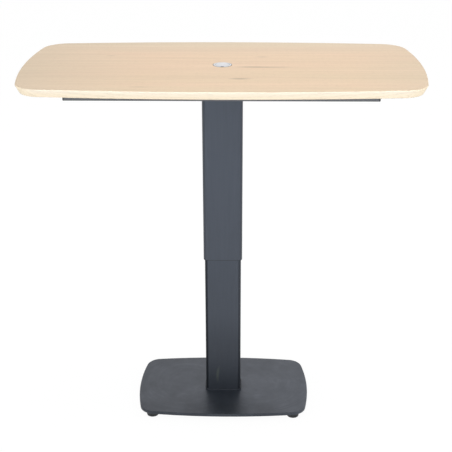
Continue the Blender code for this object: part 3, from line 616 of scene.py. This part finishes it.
def wiped_streaks_and_painted_shade(tree, place, wear):
    """Sheen of a tube that was wiped up and down; a sliding one gets painted shade on its lower part."""
    size = (WIPE_STREAK, WIPE_STREAK, WIPE_STREAK_LENGTH)
    wipe = stretched_noise(tree, place, size, {"Detail": 3.0})
    sheen = node(
        tree, "MapRange", {"Value": wipe, "From Min": 0.2, "From Max": 0.8, "To Min": 0.95, "To Max": 1.05}
    )
    if wear != "sliding tube":
        return sheen
    # Painted shade: a sliding tube's colour and sheen grow darker below about a third of a metre
    axes = node(tree, "SeparateXYZ", {0: place})
    low = node(
        tree,
        "MapRange",
        {"Value": axes.outputs[2], "From Min": 0.34, "From Max": 0.20, "To Min": 1.0, "To Max": 0.84},
        interpolation_type="SMOOTHSTEP",
    )
    return node(tree, "Math", {0: sheen, 1: low}, operation="MULTIPLY")


def painted_shade(tree, wear):
    """Mask of painted shade, which darkens and dulls a plate's cut sides, or a tube's corners and ledges.

    A sliding tube's corners get the most painted shade, most of all on the left, and it has no ledge.
    """
    right, back, up = facing(tree)
    x, y, z = [node(tree, "Math", {0: axis}, operation="ABSOLUTE") for axis in (right, back, up)]
    if wear == "plate":
        # Painted shade on the plate's cut sides
        return node(tree, "MapRange", {"Value": z, "From Min": 0.8, "From Max": 0.3, "To Max": 0.26})
    # Painted shade in a tube's corners, deeper on the left than on the right
    corner = node(tree, "Math", {0: x, 1: y}, operation="MINIMUM")
    most = node(
        tree, "MapRange", {"Value": right, "From Min": -0.1, "From Max": 0.1, "To Min": 1.0, "To Max": 0.6}
    )
    mask = node(
        tree,
        "MapRange",
        {"Value": corner, "From Min": 0.03, "From Max": 0.30, "To Max": most},
        interpolation_type="SMOOTHSTEP",
    )
    if wear == "sliding tube":
        return mask
    mask = node(tree, "Math", {0: mask, 1: 0.25}, operation="MULTIPLY")
    # Painted shade on ledges that face up, such as the flange and the foot weld
    ledge = node(tree, "MapRange", {"Value": up, "From Min": 0.3, "From Max": 0.7})
    return node(tree, "Math", {0: mask, 1: ledge}, operation="MAXIMUM")


def scuffed(tree, place):
    """Mask of one bent, dusty scuff low on the front of the tube."""
    centre_x, centre_z = SCUFF_MIDDLE
    axes = node(tree, "SeparateXYZ", {0: place})
    x, y, z = axes.outputs
    rise = node(tree, "Math", {0: z, 1: centre_z}, operation="SUBTRACT")
    above = node(tree, "Math", {0: z, 1: SCUFF_BEND_START}, operation="SUBTRACT")
    square = node(tree, "Math", {0: above, 1: above}, operation="MULTIPLY")
    bent = node(tree, "Math", {0: square, 1: SCUFF_BEND, 2: centre_x}, operation="MULTIPLY_ADD")
    aside = node(tree, "Math", {0: x, 1: bent}, operation="SUBTRACT")
    offset = node(tree, "CombineXYZ", {0: aside, 1: rise})
    shares = node(tree, "VectorMath", {0: offset, 1: SCUFF_HALF_SIZE}, operation="DIVIDE")
    reach = node(tree, "VectorMath", {0: shares}, operation="LENGTH")
    front = node(tree, "Math", {0: y, 1: 0.0}, operation="LESS_THAN")
    most = node(tree, "Math", {0: front, 1: 0.5}, operation="MULTIPLY")
    return node(tree, "MapRange", {"Value": reach, "From Min": 1.1, "From Max": 0.3, "To Max": most})


def black_enamel(coat):
    """Steel tube, dipped in black enamel: glossy, with slow waves in the coat."""
    material, tree, place = new_material("black_enamel")
    wave = node(tree, "TexNoise", {"Vector": place, "Scale": 1 / ENAMEL_WAVE, "Detail": 2.0})
    gloss = node(tree, "MapRange", {"Value": wave, "To Min": 0.18, "To Max": 0.32})
    relief = node(tree, "Bump", {"Height": wave, "Strength": 0.05, "Distance": 0.2 * MM})
    return close_material(material, {"Base Color": coat, "Roughness": gloss, "Normal": relief, "IOR": 1.5})


def moulded_polypropylene(plastic):
    """Polypropylene, moulded in an eroded tool: near-black, dull, with a fine even grain."""
    material, tree, place = new_material("moulded_polypropylene")
    # Erosion grain is about a fifth of a millimetre; it is drawn at one millimetre to show
    grain = node(tree, "TexNoise", {"Vector": place, "Scale": 1 / MOULD_GRAIN, "Detail": 2.0})
    scuff, tone = clouded(tree, place, plastic, MOULD_SCUFF, 4.0, 0.8, 1.25)
    dull = node(tree, "MapRange", {"Value": scuff, "To Min": 0.48, "To Max": 0.64})
    relief = node(tree, "Bump", {"Height": grain, "Strength": 0.15, "Distance": 0.1 * MM})
    return close_material(material, {"Base Color": tone, "Roughness": dull, "Normal": relief, "IOR": 1.49})


def nitrile_rubber(name, rubber):
    """Nitrile rubber, moulded and talced: black and quite dull."""
    material, tree, place = new_material(name)
    _, tone = clouded(tree, place, rubber, TALC, 3.0, 0.8, 1.5)
    return close_material(material, {"Base Color": tone, "Roughness": 0.78, "IOR": 1.52})


def zinc_plated_steel(plated):
    """Steel, zinc-plated and passivated: pale grey metal with faint cloudy patches."""
    material, tree, place = new_material("zinc_plated_steel")
    patch, tone = clouded(tree, place, plated, ZINC_PATCH, 3.0, 0.88, 1.08)
    satin = node(tree, "MapRange", {"Value": patch, "To Min": 0.28, "To Max": 0.44})
    return close_material(material, {"Base Color": tone, "Metallic": 1.0, "Roughness": satin})


def turned_steel(name, metal, groove, roughness):
    """Steel, turned or spun round the z axis: bright, with fine rings that stretch the highlights."""
    material, tree, place = new_material(name)
    # Turning marks are a tenth of a millimetre apart; they are drawn coarser to show
    rings = node(
        tree,
        "TexWave",
        {"Vector": place, "Scale": 1 / (20 * groove), "Distortion": 0.6, "Detail": 2.0},
        wave_type="RINGS",
        rings_direction="Z",
    )
    ring = rings.outputs["Fac"]
    _, tone = clouded(tree, place, metal, STEEL_PATCH, 2.0, 0.94, 1.04)
    cut = node(tree, "MapRange", {"Value": ring, "To Min": 0.94, "To Max": 1.03})
    tone = node(tree, "VectorMath", {0: tone, "Scale": cut}, operation="SCALE")
    satin = node(tree, "MapRange", {"Value": ring, "To Min": roughness - 0.05, "To Max": roughness + 0.05})
    relief = node(tree, "Bump", {"Height": ring, "Strength": 0.06, "Distance": 0.05 * MM})
    tangent = node(tree, "Tangent", direction_type="RADIAL", axis="Z")
    return close_material(material, {
        "Base Color": tone,
        "Metallic": 1.0,
        "Roughness": satin,
        "Normal": relief,
        "Tangent": tangent,
        "Anisotropic": 0.4,
    })


# Pieces


class TABLE_OT_wooden_top(bpy.types.Operator):
    """Finish the wooden top"""

    bl_idname = "table.wooden_top"
    bl_label = "Wooden top"

    def execute(self, context):
        low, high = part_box("table_top")
        dress(["table_top"], white_oiled_oak(context.scene.table_wood, low.z, high.z))
        return {"FINISHED"}


class TABLE_OT_column(bpy.types.Operator):
    """Finish the column and the base plate, with the welds at the column's head and foot"""

    bl_idname = "table.column"
    bl_label = "Column and base"

    def execute(self, context):
        paint = context.scene.table_paint
        hardware = context.scene.table_hardware
        dress(["base_plate"], powder_coat("anthracite_plate_coat", paint.column, paint, "plate"))
        dress(["inner_column"], powder_coat("anthracite_sliding_coat_painted_shade", paint.column, paint, "sliding tube"))
        # The tube coat paints shade on the corners and on upward ledges such as the flange and the welds
        coat = powder_coat("anthracite_powder_coat", paint.column, paint, "tube")
        dress(["column_flange", "outer_column"], coat)
        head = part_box("outer_column")[1].z
        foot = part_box("column_flange")[1].z
        for tube, height, up, leg, name, body in (
            ("outer_column", head, -1, hardware.weld, "column_head_weld", "lift"),
            ("inner_column", foot, 1, hardware.weld * FOOT_WELD, "column_foot_weld", "base"),
        ):
            low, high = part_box(tube)
            loop = outline(high.x - low.x, high.y - low.y, TUBE_CORNER, hardware.ripple / WELD_STEPS)
            path = [(Vector((x, y, height)), Vector((nx, ny, 0))) for (x, y), (nx, ny) in loop]
            points, faces = bead(path, Vector((0, 0, up)), leg, hardware.ripple, closed=True)
            add_piece(name, points, faces, coat, body)
        return {"FINISHED"}


class TABLE_OT_sub_frame(bpy.types.Operator):
    """Finish the rails, cross bars and head plate, with the welds that join them"""

    bl_idname = "table.sub_frame"
    bl_label = "Sub-frame"

    def execute(self, context):
        paint = context.scene.table_paint
        hardware = context.scene.table_hardware
        coat = powder_coat("iron_grey_powder_coat", paint.sub_frame, paint, "tube")
        dress(["front_rail", "rear_rail", "left_cross_bar", "right_cross_bar", "head_plate"], coat)
        for side in ("left", "right"):
            low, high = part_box(side + "_cross_bar")
            middle = (low + high) / 2
            loop = outline(high.x - low.x, high.z - low.z, BAR_CORNER, hardware.ripple / WELD_STEPS)
            # The upper side of a bar lies against the top, so its weld stops short of the corners there
            limit = (high.z - low.z) / 2 - BAR_CORNER - 1.0 * MM
            below = [(place, normal) for place, normal in loop if place.y < limit]
            for end, y, inwards in (("front", low.y, 1), ("rear", high.y, -1)):
                path = [
                    (Vector((middle.x + u, y, middle.z + v)), Vector((nu, 0, nv)))
                    for (u, v), (nu, nv) in below
                ]
                along = Vector((0, inwards, 0))
                points, faces = bead(path, along, hardware.weld, hardware.ripple, closed=False)
                add_piece(side + "_cross_bar_weld_" + end, points, faces, coat, "lift")
        return {"FINISHED"}


class TABLE_OT_gas_spring(bpy.types.Operator):
    """Finish the gas spring and its release"""

    bl_idname = "table.gas_spring"
    bl_label = "Gas spring"

    def execute(self, context):
        hardware = context.scene.table_hardware
        machined = turned_steel("turned_steel", hardware.machined, 0.4 * MM, 0.30)
        dress(["gas_spring_cylinder"], black_enamel(context.scene.table_paint.enamel))
        dress(["gas_spring_rod"], turned_steel("hard_chromed_steel", hardware.stainless, 0.3 * MM, 0.12))
        names = ["cylinder_seat", "gas_spring_gland", "gas_spring_piston", "push_rod", "release_pin"]
        dress(names, machined)
        dress(["rod_seal", "piston_seal"], nitrile_rubber("talced_nitrile_rubber", hardware.rubber))
        return {"FINISHED"}


class TABLE_OT_button(bpy.types.Operator):
    """Finish the release button and its bezel, with the bezel's gasket and the button's spring"""

    bl_idname = "table.button"
    bl_label = "Release button"

    def execute(self, context):
        hardware = context.scene.table_hardware
        spun = turned_steel("spun_stainless_steel", hardware.stainless, 0.5 * MM, 0.22)
        dress(["button_cap", "button_bezel"], spun)
        bezel_gasket(nitrile_rubber("moulded_nitrile_rubber", hardware.rubber))
        wound_spring(turned_steel("drawn_spring_wire", hardware.machined, 0.3 * MM, 0.26))
        return {"FINISHED"}


class TABLE_OT_plastics(bpy.types.Operator):
    """Finish the foot pads, rail caps, glides and bezel nut"""

    bl_idname = "table.plastics"
    bl_label = "Plastic pieces"

    def execute(self, context):
        names = ["foot_pad_" + corner for corner in CORNERS]
        names += [side + "_rail_cap_" + end for side in ("front", "rear") for end in ("left", "right")]
        names += ["upper_glide", "lower_glide", "bezel_nut"]
        dress(names, moulded_polypropylene(context.scene.table_hardware.plastic))
        return {"FINISHED"}


class TABLE_OT_fasteners(bpy.types.Operator):
    """Finish the nuts and add the screws, bolts and threaded foot studs"""

    bl_idname = "table.fasteners"
    bl_label = "Fasteners"

    def execute(self, context):
        hardware = context.scene.table_hardware
        plated = zinc_plated_steel(hardware.plated)
        dress(["rod_nut_upper", "rod_nut_lower"] + ["foot_nut_" + corner for corner in CORNERS], plated)
        for corner in CORNERS:
            threaded_stud(corner, hardware.pitch, plated)
        for side in ("front", "rear"):
            low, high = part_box(side + "_rail")
            spots = [(x, (low.y + high.y) / 2) for x in RAIL_SCREWS]
            add_fasteners(side + "_rail_screw", socket_screw(), side + "_rail", spots, plated, "lift")
        add_fasteners("head_bolt", hex_bolt(), "head_plate", HEAD_BOLTS, plated, "lift")
        add_fasteners("base_screw", socket_screw(), "base_plate", BASE_SCREWS, plated, "base")
        return {"FINISHED"}


def outline(width, depth, radius, step):
    """Points and outward normals round a rounded rectangle, from the middle of its upper side."""
    across = width / 2 - radius
    along = depth / 2 - radius
    here = Vector((0, depth / 2))
    found = []
    for turn, corner in enumerate(((-across, along), (-across, -along), (across, -along), (across, along))):
        start = math.pi / 2 * (turn + 1)
        normal = Vector((math.cos(start), math.sin(start)))
        there = Vector(corner) + radius * normal
        count = max(1, round((there - here).length / step))
        found += [(here.lerp(there, i / count), normal) for i in range(count)]
        count = max(3, round(radius * math.pi / 2 / step))
        for i in range(count):
            angle = start + math.pi / 2 * i / count
            normal = Vector((math.cos(angle), math.sin(angle)))
            found.append((Vector(corner) + radius * normal, normal))
        angle = start + math.pi / 2
        here = Vector(corner) + radius * Vector((math.cos(angle), math.sin(angle)))
    end = Vector((0, depth / 2))
    count = max(1, round((end - here).length / step))
    found += [(here.lerp(end, i / count), Vector((0, 1))) for i in range(count)]
    return found


def bead(path, up, leg, ripple, closed):
    """Rippled weld bead along a path of points and outward normals; it swells upwards from the path."""
    arc = [math.pi / 2 * i / BEAD_STEPS for i in range(BEAD_STEPS + 1)]
    run = 0.0
    rings = []
    before = path[0][0]
    for point, out in path:
        run += (point - before).length
        before = point
        size = leg * (0.9 + 0.2 * abs(math.sin(math.pi * run / ripple)))
        ring = [point - leg / 4 * (out + up)]
        ring += [point + size * (math.cos(a) * out + math.sin(a) * up) for a in arc]
        rings.append(ring)
    tangent = path[1][0] - path[0][0]
    if tangent.cross(path[0][1]).dot(up) < 0:
        rings = [list(reversed(ring)) for ring in rings]
    return skin(rings, closed)


def bezel_gasket(material):
    """Rubber gasket between the bezel and the top: a ring with a lip, and a key in the bezel's notch."""
    low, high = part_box("button_bezel")
    rim = (high.x - low.x) / 2
    clear = 0.02 * MM
    bottom = high.z - BEZEL_FLANGE - SEAT_GAP + clear
    flange_bottom = high.z - BEZEL_FLANGE
    lip_top = high.z - 0.4 * MM
    lip_shoulder = lip_top - 0.2 * MM
    inside = rim - 4.2 * MM
    outside = rim + 0.8 * MM
    lip_inside = rim + 0.12 * MM
    profile = (
        (outside, bottom),
        (outside, lip_shoulder),
        (rim + 0.6 * MM, lip_top),
        (rim + 0.3 * MM, lip_top),
        (lip_inside, lip_shoulder),
        (lip_inside, flange_bottom - clear),
        (inside, flange_bottom - clear),
        (inside, bottom),
    )
    # The lip shows as a dark rim round the bezel, which also stands in as painted shade in the gap there
    points, faces = skin([circle(radius, height, 96) for radius, height in profile], closed=True)
    add_piece("bezel_gasket", points, faces, material, "lift")
    # The key fills the notch and keeps the bezel from turning; its dark rubber also stands in as painted
    # shade in the notch
    bevel = 0.3 * MM
    loop = outline(NOTCH_WIDTH - 2 * SEAT_GAP, NOTCH_DEPTH - 2 * SEAT_GAP, 0.8 * MM, 0.5 * MM)
    rings = []
    for height, inset in ((flange_bottom, 0), (lip_top - bevel, 0), (lip_top, bevel)):
        ring = [place - inset * normal for place, normal in loop]
        rings.append([(u, v - rim + NOTCH_DEPTH / 2, height) for u, v in ring])
    points, faces = skin(rings)
    add_piece("gasket_key", points, faces, material, "lift")


def hex_bolt():
    """Rings of an M8 hexagon head with its washer, from the face that it clamps downwards."""
    washer = 8.0 * MM
    flats = 13.0 * MM
    seat = -1.6 * MM
    end = seat - 5.3 * MM
    chamfer = 0.6 * MM
    dish = 0.2 * MM
    return [
        circle(washer, 0),
        circle(washer, seat),
        hexagon(flats, seat),
        hexagon(flats, end + chamfer),
        circle(flats / 2 - chamfer / 2, end),
        circle(flats / 2 - 1.6 * MM, end + dish),
    ]


def socket_screw():
    """Rings of a round-headed M5 screw with a hexagon socket, from the face that it clamps downwards."""
    head = 4.75 * MM
    height = 2.75 * MM
    socket = 3.0 * MM
    socket_depth = 1.6 * MM
    drill_depth = 2.0 * MM
    rim = 0.15
    dome = [math.radians(angle) for angle in (0, 20, 40, 60)]
    rings = [circle(head, 0)]
    for angle in dome:
        radius = head * (1 - 0.9 * (1 - math.cos(angle)))
        rise = rim + (1 - rim) * math.sin(angle) / math.sin(dome[-1])
        rings.append(circle(radius, -height * rise))
    rings += [hexagon(socket, -height), hexagon(socket, -height + socket_depth)]
    rings.append(circle(0.4 * MM, -height + drill_depth))
    return rings


def add_fasteners(name, rings, clamped, spots, material, body):
    """Add a row of fasteners whose heads point down from the lower face of the node that they clamp."""
    points, faces = skin(rings)
    faces = [tuple(reversed(face)) for face in faces]
    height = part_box(clamped)[0].z
    for number, (x, y) in enumerate(spots, 1):
        moved = [Vector(point) + Vector((x, y, height)) for point in points]
        add_piece(f"{name}_{number}", moved, faces, material, body)


def threaded_stud(corner, pitch, material):
    """Foot stud with a real helical thread, in place of the plain one."""
    low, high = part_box("foot_stud_" + corner)
    middle = (low + high) / 2
    head = (high.x - low.x) / 2
    crest = 4.7 * MM
    depth = 0.75 * MM
    shank_start = low.z + 3.2 * MM
    chamfer = 1.0 * MM
    sides = 24
    steps = 8
    rings = [circle(head, low.z, sides), circle(head, shank_start, sides)]
    count = int((high.z - shank_start) / pitch * steps)
    for step in range(count + 1):
        height = shank_start + (high.z - shank_start) * step / count
        limit = min(crest, crest - chamfer + (high.z - height))
        ring = []
        for i in range(sides):
            phase = (height / pitch - i / sides) % 1
            reach = min(limit, crest - depth * abs(2 * phase - 1))
            angle = 2 * math.pi * i / sides
            ring.append((reach * math.cos(angle), reach * math.sin(angle), height))
        rings.append(ring)
    points, faces = skin(rings)
    points = [(x + middle.x, y + middle.y, z) for x, y, z in points]
    stud = add_piece("threaded_stud_" + corner, points, faces, material, "stud_" + corner)
    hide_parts("foot_stud_" + corner)


def wound_spring(material):
    """Return spring of the button, of round wire, in place of the coarse one.

    It stands in the bezel and has a mesh of its own.
    """
    low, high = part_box("button_spring")
    wire = SPRING_WIRE / 2
    radius = (high.x - low.x) / 2 - wire
    rise = high.z - low.z - SPRING_WIRE
    steps = SPRING_TURNS * 36
    sides = 12
    rings = []
    for step in range(steps + 1):
        turn = 2 * math.pi * SPRING_TURNS * step / steps
        out = Vector((math.cos(turn), math.sin(turn), 0))
        centre = radius * out + Vector((0, 0, low.z + wire + rise * step / steps))
        rings.append([centre + u * out - Vector((0, 0, v)) for u, v, _ in circle(wire, 0, sides)])
    points, faces = skin(rings)
    spring = add_piece("wound_button_spring", points, faces, material, "lift")
    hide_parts("button_spring")
    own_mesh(spring)


# Studio


class TABLE_OT_stage(bpy.types.Operator):
    """Camera, lamps, floor and background"""

    bl_idname = "table.stage"
    bl_label = "Studio"

    def execute(self, context):
        stage = context.scene.table_stage
        context.scene.view_settings.view_transform = "Standard"
        camera = bpy.data.objects.new("camera", bpy.data.cameras.new("camera"))
        camera.data.lens = stage.lens
        camera.data.sensor_width = SENSOR_WIDTH
        turn = Matrix.Rotation(CAMERA_PAN, 4, "Z") @ Matrix.Rotation(CAMERA_TILT, 4, "X")
        turn = turn @ Matrix.Rotation(CAMERA_ROLL, 4, "Z")
        camera.matrix_world = Matrix.Translation(CAMERA_PLACE) @ turn
        context.scene.collection.objects.link(camera)
        context.scene.camera = camera
        front = add_lamp(
            "front_lamp",
            stage.front,
            size=(2.4, 1.0),
            spread=60,
            place=(0.1, -2.1, 0.96),
            target=(0, 0, 0.96),
        )
        front.data.color = stage.front_tint[:3]
        add_lamp(
            "overhead_lamp",
            stage.overhead,
            size=(1.8, 1.8),
            spread=180,
            place=(0.25, 0, 3.0),
            target=(0, 0, 1.1),
        )
        add_floor(stage.floor)
        light_world(context.scene, stage.ambient)
        return {"FINISHED"}


def add_lamp(name, watts, size, spread, place, target):
    """Soft lamp that points at a target and shows neither in the picture nor in what it lights."""
    lamp = bpy.data.lights.new(name, "AREA")
    lamp.shape = "RECTANGLE"
    lamp.energy = watts
    lamp.size, lamp.size_y = size
    lamp.spread = math.radians(spread)
    holder = bpy.data.objects.new(name, lamp)
    aim = Vector(target) - Vector(place)
    holder.matrix_world = Matrix.Translation(place) @ aim.to_track_quat("-Z", "Y").to_matrix().to_4x4()
    holder.visible_camera = False
    holder.visible_glossy = False
    bpy.context.scene.collection.objects.link(holder)
    return holder


def seen_white(tree):
    """One for rays that show the background, straight, mirrored or through glass, nought for light."""
    path = node(tree, "LightPath")
    seen = path.outputs["Is Camera Ray"]
    for ray in ("Is Glossy Ray", "Is Transmission Ray"):
        seen = node(tree, "Math", {0: seen, 1: path.outputs[ray]}, operation="MAXIMUM")
    return seen


def add_floor(paper):
    """White paper floor that keeps a faint shadow and is clear from below."""
    material, tree, _ = new_material("white_paper_floor")
    lit = node(tree, "BsdfDiffuse", {"Color": paper})
    white = node(tree, "Emission", {"Color": (1, 1, 1, 1), "Strength": FLOOR_GLOW})
    most = node(tree, "Math", {0: seen_white(tree), 1: FLOOR_WHITE}, operation="MULTIPLY")
    above = node(tree, "MixShader", {0: most, 1: lit, 2: white})
    clear = node(tree, "BsdfTransparent")
    side = node(tree, "NewGeometry")
    floor = node(tree, "MixShader", {0: side.outputs["Backfacing"], 1: above, 2: clear})
    node(tree, "OutputMaterial", {"Surface": floor})
    mesh = bpy.data.meshes.new("floor")
    corners = [(x * FLOOR_HALF, y * FLOOR_HALF, 0) for x, y in ((-1, -1), (1, -1), (1, 1), (-1, 1))]
    mesh.from_pydata(corners, [], [(0, 1, 2, 3)])
    mesh.materials.append(material)
    piece = bpy.data.objects.new("floor", mesh)
    bpy.context.scene.collection.objects.link(piece)


def light_world(scene, ambient):
    """Light from all round, strongest at eye level, with a white background for the eye."""
    world = bpy.data.worlds.new("studio")
    scene.world = world
    world.use_nodes = True
    tree = world.node_tree
    tree.nodes.clear()
    aim = node(tree, "TexCoord")
    axes = node(tree, "SeparateXYZ", {0: aim.outputs["Generated"]})
    glow = node(tree, "MapRange", {"Value": axes.outputs[2], "To Min": ambient, "To Max": ambient * 0.3})
    light = node(tree, "Background", {"Color": (1, 1, 1, 1), "Strength": glow})
    white = node(tree, "Background", {"Color": (1, 1, 1, 1), "Strength": 1.0})
    both = node(tree, "MixShader", {0: seen_white(tree), 1: light, 2: white})
    node(tree, "OutputWorld", {"Surface": both})


# Add-on


PIECES = (
    TABLE_OT_wooden_top,
    TABLE_OT_column,
    TABLE_OT_sub_frame,
    TABLE_OT_gas_spring,
    TABLE_OT_button,
    TABLE_OT_plastics,
    TABLE_OT_fasteners,
    TABLE_OT_stage,
)
SETTINGS = {
    "table_wood": TableWood,
    "table_paint": TablePaint,
    "table_hardware": TableHardware,
    "table_stage": TableStage,
}


class TABLE_PT_looks(bpy.types.Panel):
    """Settings and operators of the table"""

    bl_idname = "TABLE_PT_looks"
    bl_label = "Height-adjustable table"
    bl_space_type = "VIEW_3D"
    bl_region_type = "UI"
    bl_category = "Table"

    def draw(self, context):
        for name, group in SETTINGS.items():
            box = self.layout.box()
            box.label(text=group.__doc__)
            settings = getattr(context.scene, name)
            for item in group.__annotations__:
                box.prop(settings, item)
        for piece in PIECES:
            self.layout.operator(piece.bl_idname)


def register():
    for group in SETTINGS.values():
        bpy.utils.register_class(group)
    for name, group in SETTINGS.items():
        setattr(bpy.types.Scene, name, bpy.props.PointerProperty(type=group))
    for piece in PIECES:
        bpy.utils.register_class(piece)
    bpy.utils.register_class(TABLE_PT_looks)


def unregister():
    bpy.utils.unregister_class(TABLE_PT_looks)
    for piece in reversed(PIECES):
        bpy.utils.unregister_class(piece)
    for name in SETTINGS:
        delattr(bpy.types.Scene, name)
    for group in reversed(list(SETTINGS.values())):
        bpy.utils.unregister_class(group)


def main():
    register()
    bpy.ops.table.wooden_top()
    bpy.ops.table.column()
    bpy.ops.table.sub_frame()
    bpy.ops.table.gas_spring()
    bpy.ops.table.button()
    bpy.ops.table.plastics()
    bpy.ops.table.fasteners()
    bpy.ops.table.stage()


if __name__ == "__main__":
    main()
